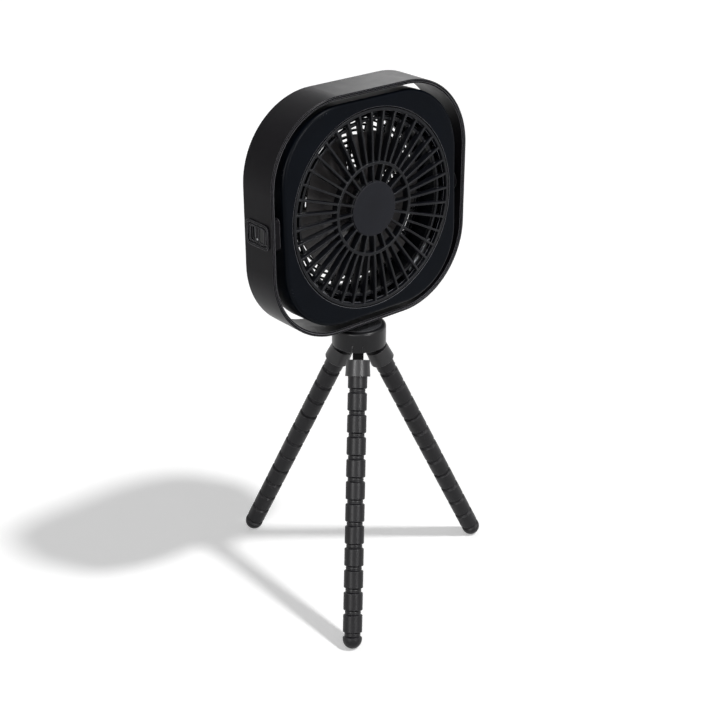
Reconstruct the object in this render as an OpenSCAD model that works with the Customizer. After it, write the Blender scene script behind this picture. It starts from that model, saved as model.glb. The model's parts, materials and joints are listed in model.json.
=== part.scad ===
// Portable fan: a square-round fan head that tilts in a hoop, on a small tripod with flexible legs.
// Millimetres, +Z up. The floor is z = 0 and the fan looks towards -Y.
// Most pieces of the hoop and head are drawn upright: x to the right, y up, z towards the front.

/* [Hoop] */
// Width of the hoop outside
hoop_w = 161.4; // [150:0.2:180]
// Height of the hoop outside
hoop_h = 157.9; // [150:0.1:180]
// Depth of the hoop, front to back
hoop_depth = 29.1; // [24:0.1:34]
// Outer radius of the hoop's corners
hoop_corner_r = 52.5; // [40:0.5:60]
// Wall of the hoop
hoop_wall = 2.8; // [2:0.1:3.4]
// Set-back of the inner step at each rim
rim_step = 0.9; // [0.5:0.1:2]
// Thickness of the part of the wall that the step takes away
rim_step_wall = 1.1; // [0.6:0.1:1.4]
// Chamfer of the hoop's outer edges
hoop_edge = 0.6; // [0.2:0.1:1]
// Radius of the threaded boss under the hoop
boss_r = 6.6; // [5.5:0.1:9]
// Height of the threaded boss under the hoop
boss_h = 4.5; // [4:0.1:9]

/* [Head] */
// Room between the hoop's outside and the head at the left and right
side_room = 9.1; // [8:0.1:10]
// Room between the hoop's outside and the head above and below
end_room = 7; // [5.5:0.1:10]
// How much smaller the head's corner radius is than the hoop's
corner_room = 7.1; // [5:0.1:10]
// Distance from the tilt axis to the front face
face_z = 15.4; // [13:0.1:18]
// Distance from the tilt axis to the rear face
rear_z = 9.5; // [9.5:0.1:16]
// Wall of the head's shells
head_wall = 2; // [1.6:0.1:2.6]
// Round of the front edge
face_round = 2.6; // [1:0.1:4]
// Round of the rear edge
rear_round = 4; // [2:0.1:6]
// Upward tilt of the head at rest, in degrees
head_tilt = 2.1; // [0:0.1:10]

/* [Front grille] */
// Width of the head's face beside the grille, where it is narrowest
face_border = 6.1; // [5:0.1:10]
// Width of the grille's outer ring
grille_ring_w = 3.3; // [2.4:0.1:4]
// Outer radius of the middle ring
mid_ring_r = 30.9; // [25:0.1:36]
// Width of the middle ring
mid_ring_w = 2; // [1.2:0.1:3]
// Radius of the centre cap
cap_r = 18.1; // [15:0.1:22]
// Number of outer spokes, twice that of the inner ones
spoke_count = 40; // [24:2:60]
// Width of a spoke
spoke_w = 1.4; // [1:0.1:2]
// Depth of a spoke
spoke_depth = 5.6; // [4:0.1:6.5]
// Distance from the outer ring in to the middle of the set-back ring
back_ring_inset = 4.6; // [3:0.1:12]

/* [Fan] */
// Number of blades
blade_count = 5; // [3:1:7]
// Clearance between the blade tips and the duct
tip_room = 11; // [1:0.1:14]
// Angle that a blade turns through from front to rear, in degrees
blade_sweep = 66; // [30:1:80]
// Angle that a blade's edge takes up seen from the front, in degrees
blade_edge = 8; // [5:0.5:12]

/* [Tripod] */
// Radius of the tripod head
hub_r = 18.3; // [17:0.1:22]
// Height of the tripod head
hub_h = 14; // [13:0.1:18]
// Angle between each leg and the vertical, in degrees
leg_spread = 26; // [15:0.5:45]
// Direction of the front leg seen from above, in degrees from +X
front_leg_azimuth = -132.9; // [-150:0.1:-60]
// Radius of a leg's sleeve
leg_r = 6.5; // [5:0.1:7]
// Distance between the sleeve's grooves
groove_pitch = 14.84; // [10:0.02:20]
// Number of grooves on a leg
groove_count = 12; // [9:3:18]
// Distance from the hinge to the first groove
first_groove = 31.7; // [28:0.1:40]
// Radius of a collar at its upper end
collar_r = 7.85; // [7.5:0.05:8]
// Length of a collar
collar_len = 11.1; // [8:0.1:16]

/* [Side panel] */
// Length of the panel along the hoop's depth
panel_w = 22.5; // [20:0.1:24]
// Height of the panel
panel_h = 16.3; // [14:0.1:20]
// How far the panel's rim stands out of the hoop
panel_proud = 0.9; // [0.4:0.1:1.6]

/* [Hidden] */
$fn = 96;

// Clearances: one for parts that only lie beside each other, one for turning fits
gap = 0.15;
run_gap = 0.05;
// Overrun of cuts
over = 1;

// Sizes of the head and its grille, which follow the hoop
head_w = hoop_w - 2 * side_room;
head_h = hoop_h - 2 * end_room;
head_corner_r = hoop_corner_r - corner_room;
grille_r = min(head_w, head_h) / 2 - face_border;
spoke_end_r = grille_r - grille_ring_w;
back_ring_r = spoke_end_r - back_ring_inset;

// Tilt pivot between hoop and head
pivot_pin_r = 3.5;
pivot_flange_r = 5.4;
pivot_flange_t = 1.1;
pivot_bore_r = 2.2;
washer_r = 8;
washer_t = 1.6;
right_boss_r = 9;
pin_end_wall = 1.2;
hoop_inner_x = hoop_w / 2 - hoop_wall;
head_side_x = head_w / 2;
pod_face_x = head_side_x + washer_t + 2 * gap;

// Pod inside the left of the hoop, behind the side panel
pod_w = 25.6;
pod_h = 21;
pod_wall = 1.5;
pod_round = 3;
cover_t = 1.2;
board_t = 0.8;

// Side panel, drawn as depth along y_depth and height
panel_low = 1.2;
panel_round = 3.4;
panel_rim = 1.5;
panel_groove = 1.35;
panel_skirt_t = 0.8;
groove_sink = 0.3;
block_sink = 0.2;
pocket_w = 4.8;
pocket_h = 9.3;
pocket_pitch = 8.4;
pocket_round = 1.2;
port_w = 3.2;
port_h = 8.9;
port_shell = 0.3;
port_len = 4;
port_tongue_w = 0.7;
port_tongue_h = 6.6;
port_tongue_round = 0.15;
button_sink = 0.3;
button_clear = 0.3;
button_flange = 0.8;
button_flange_t = 0.6;
button_travel = 0.7;
lens_r = 0.7;
lens_drop = 3;

// Insert and tripod screw (1/4 inch camera thread, drawn plain)
thread_r = 3.175;
screw_gap = 0.075;
insert_r = 4.6;
insert_flange_r = 5.6;
insert_flange_t = 0.8;
screw_reach = 6.4;
screw_head_r = 6.5;
screw_head_t = 1.8;

// Front grille
grille_proud = 0.2;
grille_ring_depth = 2.6;
ledge = 3;
back_ring_w = 1.6;
back_ring_setback = 4.1;
cap_t = 1.6;
cap_spigot_r = 5;
cap_spigot_len = 2;
spoke_drop = 0.3;

// Rear grille and shells
duct_wall = 1.6;
duct_inset = 3.2;
duct_r = spoke_end_r - duct_inset;
blade_tip_r = duct_r - tip_room;
rear_ring_w = 1.4;
rear_ring_count = 10;
rear_rib_count = 20;
rear_rib_w = 1.6;
rear_rib_depth = 2;
rear_rim_t = 1.2;
rear_rim_w = 0.7;
rear_ring_depth = 1.8;
rear_seat = 2;
motor_plate_r = 21;
motor_plate_t = 2;
shell_screw_x = 14;
shell_boss_r = 2.6;
shell_screw_r = 1.05;
shell_screw_head_r = 2.1;
shell_screw_head_t = 1.2;
shell_screw_len = 17.5;
shell_head_sink = 3.4;

// Cells and board in the head's corners
cell_t = 11.5;
cell_w = 27;
cell_depth = 17.5;
cell_round = 2;
corner_board_t = 1.6;
corner_board_w = 26;
corner_board_depth = 17;
cell_corners = [-45, -135];
board_corner = 135;
chip_t = 2.2;
chip_w = 9;

// Motor
shaft_r = 1;
bearing_r = 3;
bearing_t = 2.2;
tube_wall = 1;
stator_r = 9;
stator_len = 7;
stator_slots = 9;
slot_w = 1.8;
slot_depth = 3.4;
bell_r = 11.4;
bell_wall = 0.9;
bell_len = 9.4;
motor_base_r = 12.6;
motor_base_t = 1.4;
rotor_hub_r = 15.6;
rotor_hub_wall = 1.6;
blade_phase = 32;
blade_slices = 16;
blade_root_r = 13;
blade_fn = 12;
tip_fn = 72;
motor_screw_r = 1;
motor_screw_pcd_r = 10.8;
motor_screw_head_r = 1.8;
motor_screw_head_t = 0.9;
motor_screw_sink = 1.2;
motor_screw_count = 3;

// Tripod head
pad_r = 15.3;
pad_proud = 1;
pad_t = 1.8;
pad_rib_pitch = 2.4;
pad_rib_w = 1.2;
pad_rib_h = 0.35;
hub_round = 2;
hub_roof = 3.4;
hub_wall = 2.2;
hinge_r = 8.3;
hinge_rise = 2.6;
hinge_pin_r = 1;
hinge_pin_len = 11.2;
tab_w = 7.2;
tab_t = 4.2;
slot_side = 0.35;
slit_w = 0.45;
slit_h = 4.8;
slot_rim = 1;
pin_snap_w = 1.7;
core_r = 16;
plate_t = 1;
hub_screw_r = 0.9;
hub_screw_head_r = 1.7;
hub_screw_head_t = 0.8;
hub_screw_len = 6;
hub_screw_pcd_r = 12.4;

// Legs, measured along the leg from the hinge
leg_names = ["front", "right", "left"];
leg_count = 3;
collar_flare = 0.6;
collar_top = 11;
collar_wall = 1.5;
shank_r = 3.2;
shank_end = 19.5;
wire_r = 1.2;
neck_drop = 1.1;
neck_half = 1;
groove_chamfer = 0.9;
ball_gap = 0.15;
foot_wire = 3;
foot_flat = 0.5;
foot_straight = 1.2;
wire_end_gap = 0.4;
fillet_fn = 48;
neck_r = leg_r - neck_drop;
grooves_per_section = floor(groove_count / 3);
bend_1 = first_groove + (grooves_per_section - 1) * groove_pitch;
bend_2 = bend_1 + grooves_per_section * groove_pitch;
last_groove = first_groove + (groove_count - 1) * groove_pitch;
foot_at = last_groove + neck_half + groove_chamfer + foot_straight;
sleeve_top = collar_top + collar_wall;

// Heights above the floor
foot_z = leg_r - foot_flat;
hinge_z = foot_z + foot_at * cos(leg_spread);
hub_bottom_z = hinge_z - hinge_rise;
hub_top_z = hub_bottom_z + hub_h;
pad_top_z = hub_top_z + pad_proud;
hoop_z = pad_top_z + boss_h + hoop_h / 2;

// The floor point under the middle of the whole object is the origin
foot_reach = hinge_r + foot_at * sin(leg_spread);
leg_azimuths = [for (i = [0:leg_count - 1]) front_leg_azimuth + i * 360 / leg_count];
foot_xs = [for (a = leg_azimuths) foot_reach * cos(a)];
foot_ys = [for (a = leg_azimuths) foot_reach * sin(a)];
high_x = max(max(foot_xs) + leg_r, hoop_w / 2);
low_x = min(min(foot_xs) - leg_r, -hoop_w / 2 - panel_proud);
high_y = max(max(foot_ys) + leg_r, hoop_depth / 2);
low_y = min(min(foot_ys) - leg_r, -face_z);
axis_x = -(high_x + low_x) / 2;
axis_y = -(high_y + low_y) / 2;

hoop_black = [0.09, 0.09, 0.105];
head_black = [0.1, 0.115, 0.135];
cap_grey = [0.15, 0.16, 0.185];
sleeve_black = [0.12, 0.12, 0.13];
dark_steel = [0.3, 0.3, 0.31];

// Places
module at_axis(z) {
    translate([axis_x, axis_y, z]) children();
}
module in_hoop() {
    at_axis(hoop_z) rotate([90, 0, 0]) children();
}
module in_head() {
    at_axis(hoop_z) rotate([90 - head_tilt, 0, 0]) children();
}
module on_leg(i) {
    at_axis(hinge_z) rotate([0, 0, leg_azimuths[i]]) translate([hinge_r, 0, 0])
        rotate([0, 180 - leg_spread, 0]) children();
}

// A rounded rectangle, and a slab of it with its middle at the origin of x and y
module outline(w, h, r) {
    square([w - 2 * r, h], center = true);
    square([w, h - 2 * r], center = true);
    for (x = [-1, 1], y = [-1, 1])
        translate([x * (w / 2 - r), y * (h / 2 - r)]) circle(r);
}
module slab(w, h, r, low, high) {
    translate([0, 0, low]) linear_extrude(high - low) outline(w, h, r);
}
// Carries a profile (x is the distance from the corner's centre) round a rounded rectangle
module carry_round(w, h, r) {
    for (turn = [0, 1, 2, 3]) {
        long = turn % 2 == 0 ? h - 2 * r : w - 2 * r;
        out = turn % 2 == 0 ? w / 2 - r : h / 2 - r;
        rotate([0, 0, turn * 90]) {
            translate([out, long / 2, 0]) rotate_extrude(angle = 90) children();
            translate([out, long / 2, 0]) rotate([90, 0, 0]) linear_extrude(long) children();
        }
    }
}
module tube(outer, inner, low, high) {
    translate([0, 0, low]) difference() {
        cylinder(h = high - low, r = outer);
        translate([0, 0, -over]) cylinder(h = high - low + 2 * over, r = inner);
    }
}
// A hole along x, from x = low to x = high
module along_x(r, low, high) {
    translate([low, 0, 0]) rotate([0, 90, 0]) cylinder(h = high - low, r = r);
}

// Hoop
module hoop_profile() {
    inside = hoop_corner_r - hoop_wall;
    step = hoop_corner_r - hoop_wall + rim_step_wall;
    half = hoop_depth / 2;
    polygon([
        [inside, -half + rim_step], [step, -half + rim_step], [step, -half],
        [hoop_corner_r - hoop_edge, -half], [hoop_corner_r, -half + hoop_edge],
        [hoop_corner_r, half - hoop_edge], [hoop_corner_r - hoop_edge, half],
        [step, half], [step, half - rim_step], [inside, half - rim_step]
    ]);
}
// A rounded block that lies along x beside the hoop's left wall
module side_block(w, h, r, low, high) {
    translate([low, 0, 0]) rotate([0, 90, 0]) linear_extrude(high - low) outline(w, h, r);
}
module hoop() {
    color(hoop_black) in_hoop() difference() {
        union() {
            carry_round(hoop_w, hoop_h, hoop_corner_r) hoop_profile();
            along_x(right_boss_r, pod_face_x, hoop_inner_x + hoop_wall / 2);
            side_block(pod_w, pod_h, pod_round, -hoop_inner_x - hoop_wall / 2, -pod_face_x);
            translate([0, -hoop_h / 2 + hoop_wall / 2, 0]) rotate([90, 0, 0])
                cylinder(h = boss_h + hoop_wall / 2, r = boss_r);
        }
        along_x(pivot_pin_r + run_gap, pod_face_x - over, hoop_w / 2 - pin_end_wall);
        side_block(pod_w - 2 * pod_wall, pod_h - 2 * pod_wall, pod_round - pod_wall,
            -hoop_inner_x, -pod_face_x + over);
        translate([0, -panel_low, 0])
            side_block(panel_w - 2 * panel_skirt_t, panel_h - 2 * panel_skirt_t,
                panel_round - panel_skirt_t, -hoop_w / 2 - over, -hoop_inner_x + over);
        translate([0, -hoop_h / 2 - boss_h - over, 0]) rotate([-90, 0, 0])
            cylinder(h = boss_h + hoop_wall + 2 * over, r = insert_r);
        translate([0, -hoop_h / 2 + hoop_wall - insert_flange_t, 0]) rotate([-90, 0, 0])
            cylinder(h = insert_flange_t + over, r = insert_flange_r);
    }
}
module tripod_insert() {
    low = -hoop_h / 2 - boss_h;
    color("goldenrod") in_hoop() translate([0, low, 0]) rotate([-90, 0, 0]) difference() {
        union() {
            cylinder(h = boss_h + hoop_wall, r = insert_r);
            translate([0, 0, boss_h + hoop_wall - insert_flange_t])
                cylinder(h = insert_flange_t, r = insert_flange_r);
        }
        translate([0, 0, -over]) cylinder(h = boss_h + hoop_wall + 2 * over, r = thread_r);
    }
}

// Side panel: rim, groove, and a block with two pockets
panel_out_x = -hoop_w / 2 - panel_proud;
panel_in_x = -hoop_inner_x;
block_w = panel_w - 2 * panel_rim - 2 * panel_groove;
block_h = panel_h - 2 * panel_rim - 2 * panel_groove;
board_x = -pod_face_x - cover_t - pivot_flange_t - gap - board_t;
flange_x = board_x - button_clear - button_travel - button_flange_t;
button_w = pocket_w - 2 * button_clear;
button_h = pocket_h - 2 * button_clear;
flange_w = pocket_w + 2 * button_flange;
flange_h = pocket_h + 2 * button_flange;
module pocket_at(side) {
    translate([0, -panel_low, -side * pocket_pitch / 2]) children();
}
module side_panel() {
    inset = panel_skirt_t + gap;
    color(hoop_black) in_hoop() difference() {
        translate([0, -panel_low, 0]) union() {
            difference() {
                union() {
                    side_block(panel_w, panel_h, panel_round, panel_out_x, -hoop_w / 2);
                    side_block(panel_w - 2 * inset, panel_h - 2 * inset, panel_round - inset,
                        -hoop_w / 2, panel_in_x);
                }
                side_block(panel_w - 2 * panel_rim, panel_h - 2 * panel_rim,
                    panel_round - panel_rim, panel_out_x - over, -hoop_w / 2 + groove_sink);
            }
            side_block(block_w, block_h, panel_round - panel_rim, panel_out_x + block_sink, panel_in_x);
        }
        pocket_at(1) side_block(pocket_w, pocket_h, pocket_round, panel_out_x - over, panel_in_x + over);
        pocket_at(-1) side_block(pocket_w, pocket_h, pocket_round, panel_out_x - over, panel_in_x + over);
        pocket_at(-1) side_block(flange_w + 2 * button_clear, flange_h + 2 * button_clear,
            pocket_round, flange_x - button_clear, panel_in_x + over);
        translate([0, -panel_low - lens_drop, 0])
            along_x(lens_r, panel_out_x - over, panel_in_x + over);
    }
}
module indicator_lens() {
    color("gainsboro") in_hoop() translate([0, -panel_low - lens_drop, 0])
        along_x(lens_r, panel_out_x + block_sink, panel_in_x);
}
// The rear pocket holds the charging socket
port_x = panel_out_x + panel_proud;
module charging_port() {
    color("silver") in_hoop() pocket_at(1) {
        difference() {
            side_block(port_w, port_h, port_w / 2 - run_gap, port_x, port_x + port_len);
            side_block(port_w - 2 * port_shell, port_h - 2 * port_shell,
                port_w / 2 - run_gap - port_shell, port_x - over, port_x + port_len - port_shell);
        }
        side_block(port_tongue_w, port_tongue_h, port_tongue_round,
            port_x + 2 * port_shell, port_x + port_len - port_shell);
    }
}
module switch_board() {
    color("darkgreen") in_hoop() difference() {
        side_block(pod_w - 2 * pod_wall, pod_h - 2 * pod_wall, pod_round - pod_wall,
            board_x, board_x + board_t);
        pocket_at(1) side_block(port_w, port_h, port_w / 2 - run_gap, board_x - over,
            board_x + board_t + over);
    }
}
// The front pocket holds the push button, with a flange behind the panel
button_x = panel_out_x + block_sink + button_sink;
module power_button() {
    color([0.13, 0.13, 0.14]) in_hoop() pocket_at(-1) {
        side_block(button_w, button_h, pocket_round - button_clear, button_x, flange_x);
        side_block(flange_w, flange_h, pocket_round, flange_x, flange_x + button_flange_t);
    }
}
module pod_cover() {
    color(hoop_black) in_hoop() difference() {
        side_block(pod_w - 2 * pod_wall, pod_h - 2 * pod_wall, pod_round - pod_wall,
            -pod_face_x - cover_t, -pod_face_x);
        along_x(pivot_pin_r, -pod_face_x - cover_t - over, -pod_face_x + over);
    }
}
module left_pivot_tube() {
    inner_x = -head_side_x + head_wall + gap;
    color(dark_steel) in_hoop() difference() {
        union() {
            along_x(pivot_pin_r, -pod_face_x - cover_t, inner_x);
            along_x(pivot_flange_r, -pod_face_x - cover_t - pivot_flange_t, -pod_face_x - cover_t);
            along_x(pivot_flange_r, inner_x, inner_x + pivot_flange_t);
        }
        along_x(pivot_bore_r, -pod_face_x - cover_t - pivot_flange_t - over,
            inner_x + pivot_flange_t + over);
    }
}
module right_pivot_pin() {
    inner_x = head_side_x - head_wall - gap;
    color(dark_steel) in_hoop() {
        along_x(pivot_pin_r, inner_x, hoop_w / 2 - pin_end_wall);
        along_x(pivot_flange_r, inner_x - pivot_flange_t, inner_x);
    }
}
module tilt_washers() {
    color("dimgray") in_hoop() for (side = [0, 1]) mirror([side, 0, 0]) difference() {
        along_x(washer_r, head_side_x + gap, head_side_x + gap + washer_t);
        along_x(pivot_pin_r + run_gap, head_side_x - over, head_side_x + washer_t + over);
    }
}

// Head shells, drawn in the head's own frame
module front_profile() {
    difference() {
        square([head_corner_r, face_z]);
        translate([head_corner_r - face_round, face_z - face_round])
            square([face_round + over, face_round + over]);
    }
    intersection() {
        translate([head_corner_r - face_round, face_z - face_round]) circle(face_round, $fn = fillet_fn);
        square([head_corner_r, face_z]);
    }
}
module rear_profile() {
    difference() {
        translate([0, -rear_z]) square([head_corner_r, rear_z]);
        translate([head_corner_r - rear_round, -rear_z - over])
            square([rear_round + over, rear_round + over]);
    }
    intersection() {
        translate([head_corner_r - rear_round, -rear_z + rear_round]) circle(rear_round, $fn = fillet_fn);
        translate([0, -rear_z]) square([head_corner_r, rear_z]);
    }
}
inner_w = head_w - 2 * head_wall;
inner_h = head_h - 2 * head_wall;
inner_corner_r = head_corner_r - head_wall;
shell_screw_y = head_h / 2 - head_wall - shell_boss_r - gap;
module shell_screw_places() {
    for (x = [-1, 1], y = [-1, 1]) translate([x * shell_screw_x, y * shell_screw_y, 0]) children();
}
module front_bezel() {
    seat_z = face_z + grille_proud - grille_ring_depth;
    color(head_black) in_head() difference() {
        union() {
            difference() {
                union() {
                    carry_round(head_w, head_h, head_corner_r) front_profile();
                    slab(head_w - 2 * head_corner_r, head_h - 2 * head_corner_r, gap, 0, face_z);
                }
                slab(inner_w, inner_h, inner_corner_r, -over, seat_z - head_wall);
            }
            shell_screw_places() cylinder(h = seat_z - head_wall, r = shell_boss_r);
        }
        translate([0, 0, seat_z]) cylinder(h = face_z, r = grille_r + gap);
        translate([0, 0, -over]) cylinder(h = face_z + 2 * over, r = grille_r - ledge);
        translate([0, 0, -over]) shell_screw_places()
            cylinder(h = shell_screw_len - rear_z + over + gap, r = shell_screw_r);
        along_x(pivot_pin_r + run_gap, -head_w, head_w);
    }
}
module rear_shell() {
    floor_z = -rear_z + head_wall;
    duct_top = min(face_z - grille_ring_depth - head_wall, face_z + grille_proud - spoke_depth) - gap;
    color(head_black) in_head() difference() {
        union() {
            difference() {
                union() {
                    carry_round(head_w, head_h, head_corner_r) rear_profile();
                    slab(head_w - 2 * head_corner_r, head_h - 2 * head_corner_r, gap, -rear_z, 0);
                }
                slab(inner_w, inner_h, inner_corner_r, floor_z, over);
            }
            tube(duct_r + duct_wall, duct_r, -rear_z, duct_top);
            intersection() {
                shell_screw_places() translate([0, 0, -rear_z]) cylinder(h = rear_z, r = shell_boss_r);
                slab(inner_w, inner_h, inner_corner_r, -rear_z, 0);
            }
        }
        translate([0, 0, -rear_z - over]) cylinder(h = rear_z + face_z, r = duct_r - rear_seat);
        translate([0, 0, -rear_z + rear_rib_depth]) cylinder(h = rear_z + face_z, r = duct_r);
        translate([0, 0, -rear_z - over]) shell_screw_places()
            cylinder(h = rear_z + 2 * over, r = shell_screw_r + gap);
        translate([0, 0, -rear_z - over]) shell_screw_places()
            cylinder(h = over + shell_head_sink, r = shell_screw_head_r + gap);
        along_x(pivot_pin_r + run_gap, -head_w, -duct_r - duct_wall - over);
        along_x(pivot_pin_r + run_gap, duct_r + duct_wall + over, head_w);
    }
}
module shell_screws() {
    color("dimgray") in_head() shell_screw_places() translate([0, 0, -rear_z + shell_head_sink]) {
        cylinder(h = shell_screw_len - shell_head_sink, r = shell_screw_r - run_gap);
        translate([0, 0, -shell_screw_head_t]) cylinder(h = shell_screw_head_t, r = shell_screw_head_r);
    }
}

// Front grille
module spokes(count, inner, outer, w, low, high) {
    for (i = [0:count - 1]) rotate([0, 0, i * 360 / count])
        translate([inner, -w / 2, low]) cube([outer - inner, w, high - low]);
}
grille_z = face_z + grille_proud;
module front_grille() {
    low = grille_z - spoke_depth;
    bite = spoke_w / 2;
    color(head_black) in_head() difference() {
        union() {
            tube(grille_r, spoke_end_r, grille_z - grille_ring_depth, grille_z);
            tube(mid_ring_r, mid_ring_r - mid_ring_w, low, grille_z);
            tube(back_ring_r + back_ring_w / 2, back_ring_r - back_ring_w / 2, low,
                grille_z - back_ring_setback);
            translate([0, 0, low]) cylinder(h = spoke_depth - cap_t, r = cap_r);
            spokes(spoke_count, mid_ring_r - bite, spoke_end_r + bite, spoke_w,
                grille_z - grille_ring_depth, grille_z - spoke_drop);
            spokes(spoke_count, mid_ring_r - bite, spoke_end_r - bite, spoke_w, low,
                grille_z - spoke_drop);
            spokes(spoke_count / 2, cap_r - bite, mid_ring_r - bite, spoke_w, low, grille_z - spoke_drop);
        }
        translate([0, 0, low - over]) cylinder(h = spoke_depth + 2 * over, r = cap_spigot_r);
        translate([0, 0, grille_z - cap_t]) cylinder(h = cap_t + over, r = cap_r + gap);
    }
}
module centre_cap() {
    color(cap_grey) in_head() translate([0, 0, grille_z - cap_t]) {
        cylinder(h = cap_t, r = cap_r);
        translate([0, 0, -cap_spigot_len]) cylinder(h = cap_spigot_len, r = cap_spigot_r - run_gap);
    }
}

// Rear grille with the motor plate
module motor_screw_places() {
    for (i = [0:motor_screw_count - 1]) rotate([0, 0, i * 360 / motor_screw_count])
        translate([motor_screw_pcd_r, 0, 0]) children();
}
module rear_grille() {
    step = (duct_r - rear_seat - motor_plate_r) / rear_ring_count;
    reach = duct_r - rear_seat - gap;
    rim_top = -rear_z + rear_rib_depth + rear_rim_t;
    color(head_black) in_head() difference() {
        union() {
            translate([0, 0, -rear_z]) cylinder(h = motor_plate_t, r = motor_plate_r);
            tube(duct_r - gap, reach - rear_rim_w, -rear_z + rear_rib_depth, rim_top);
            tube(reach, reach - rear_rim_w, -rear_z, rim_top);
            for (i = [1:rear_ring_count - 1])
                tube(motor_plate_r + i * step + rear_ring_w / 2,
                    motor_plate_r + i * step - rear_ring_w / 2, -rear_z, -rear_z + rear_ring_depth);
            spokes(rear_rib_count, motor_plate_r - over, reach - rear_rim_w / 2, rear_rib_w, -rear_z,
                -rear_z + rear_rib_depth);
        }
        motor_screw_places() translate([0, 0, -rear_z - over]) {
            cylinder(h = motor_plate_t + 2 * over, r = motor_screw_r);
            cylinder(h = motor_screw_sink + over, r = motor_screw_head_r + gap);
        }
    }
}

// Cells in the lower corners, board in an upper corner
module in_corner(turn) {
    rotate([0, 0, turn]) translate([duct_r + duct_wall + gap, 0, 0]) children();
}
module battery_cells() {
    color("slategray") in_head() for (turn = cell_corners) in_corner(turn)
        translate([cell_t / 2, 0, head_wall - rear_z]) linear_extrude(cell_depth)
            outline(cell_t, cell_w, cell_round);
}
module circuit_board() {
    color("darkgreen") in_head() in_corner(board_corner) {
        translate([0, -corner_board_w / 2, head_wall - rear_z])
            cube([corner_board_t, corner_board_w, corner_board_depth]);
        translate([corner_board_t, -chip_w / 2, -chip_w / 2]) cube([chip_t, chip_w, chip_w]);
    }
}

// Motor: base with a bearing tube, stator, two bearings, and the turning bell, shaft and fan
motor_z = -rear_z + motor_plate_t;
tube_r = bearing_r + tube_wall;
tube_top = motor_base_t + stator_len + bearing_t;
module at_motor() {
    in_head() translate([0, 0, motor_z]) children();
}
module motor_base() {
    color("silver") at_motor() difference() {
        union() {
            cylinder(h = motor_base_t, r = motor_base_r);
            cylinder(h = tube_top, r = tube_r);
        }
        translate([0, 0, motor_base_t]) cylinder(h = tube_top, r = bearing_r);
        motor_screw_places() translate([0, 0, -over])
            cylinder(h = motor_base_t + 2 * over, r = motor_screw_r);
    }
}
module motor_stator() {
    color("peru") at_motor() translate([0, 0, motor_base_t + gap]) difference() {
        cylinder(h = stator_len, r = stator_r);
        translate([0, 0, -over]) cylinder(h = stator_len + 2 * over, r = tube_r);
        for (i = [0:stator_slots - 1]) rotate([0, 0, i * 360 / stator_slots])
            translate([stator_r - slot_depth, -slot_w / 2, -over])
                cube([slot_depth + over, slot_w, stator_len + 2 * over]);
    }
}
module motor_bearings() {
    color("silver") at_motor() for (z = [motor_base_t, tube_top - bearing_t]) translate([0, 0, z])
        tube(bearing_r, shaft_r + run_gap, 0, bearing_t);
}
module motor_screws() {
    length = motor_plate_t + motor_base_t - motor_screw_sink;
    color("dimgray") in_head() motor_screw_places() translate([0, 0, -rear_z + motor_screw_sink]) {
        cylinder(h = length, r = motor_screw_r - run_gap);
        translate([0, 0, -motor_screw_head_t]) cylinder(h = motor_screw_head_t, r = motor_screw_head_r);
    }
}
bell_low = motor_base_t + 2 * gap;
bell_top = bell_low + bell_len;
module motor_bell() {
    color("gray") at_motor() difference() {
        translate([0, 0, bell_low]) cylinder(h = bell_len + bell_wall, r = bell_r);
        translate([0, 0, bell_low - over]) cylinder(h = bell_len + over, r = bell_r - bell_wall - gap);
        translate([0, 0, bell_low]) cylinder(h = bell_len + bell_wall + over, r = shaft_r);
    }
}
module motor_shaft() {
    color("silver") at_motor() translate([0, 0, bell_low])
        cylinder(h = bell_len + bell_wall + rotor_hub_wall, r = shaft_r);
}
// All blades seen from the front: sectors that a twist turns into screw surfaces
module blade_sectors() {
    intersection() {
        circle(blade_tip_r, $fn = tip_fn);
        for (i = [0:blade_count - 1]) rotate([0, 0, blade_phase + i * 360 / blade_count])
            polygon([for (r = [blade_root_r, hoop_w], side = r == hoop_w ? [1, -1] : [-1, 1])
                [r * cos(blade_edge / 2), side * r * sin(blade_edge / 2)]]);
    }
}
module rotor() {
    top = bell_top + bell_wall + rotor_hub_wall;
    bottom = bell_low;
    color([0.17, 0.17, 0.18]) at_motor() difference() {
        union() {
            translate([0, 0, bottom]) cylinder(h = top - bottom, r = rotor_hub_r);
            translate([0, 0, bottom]) linear_extrude(top - bottom, twist = -blade_sweep,
                slices = blade_slices, $fn = blade_fn) blade_sectors();
        }
        translate([0, 0, bottom - over])
            cylinder(h = bell_top + bell_wall - bottom + over, r = bell_r + run_gap);
        translate([0, 0, bottom]) cylinder(h = top, r = shaft_r);
    }
}

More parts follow.
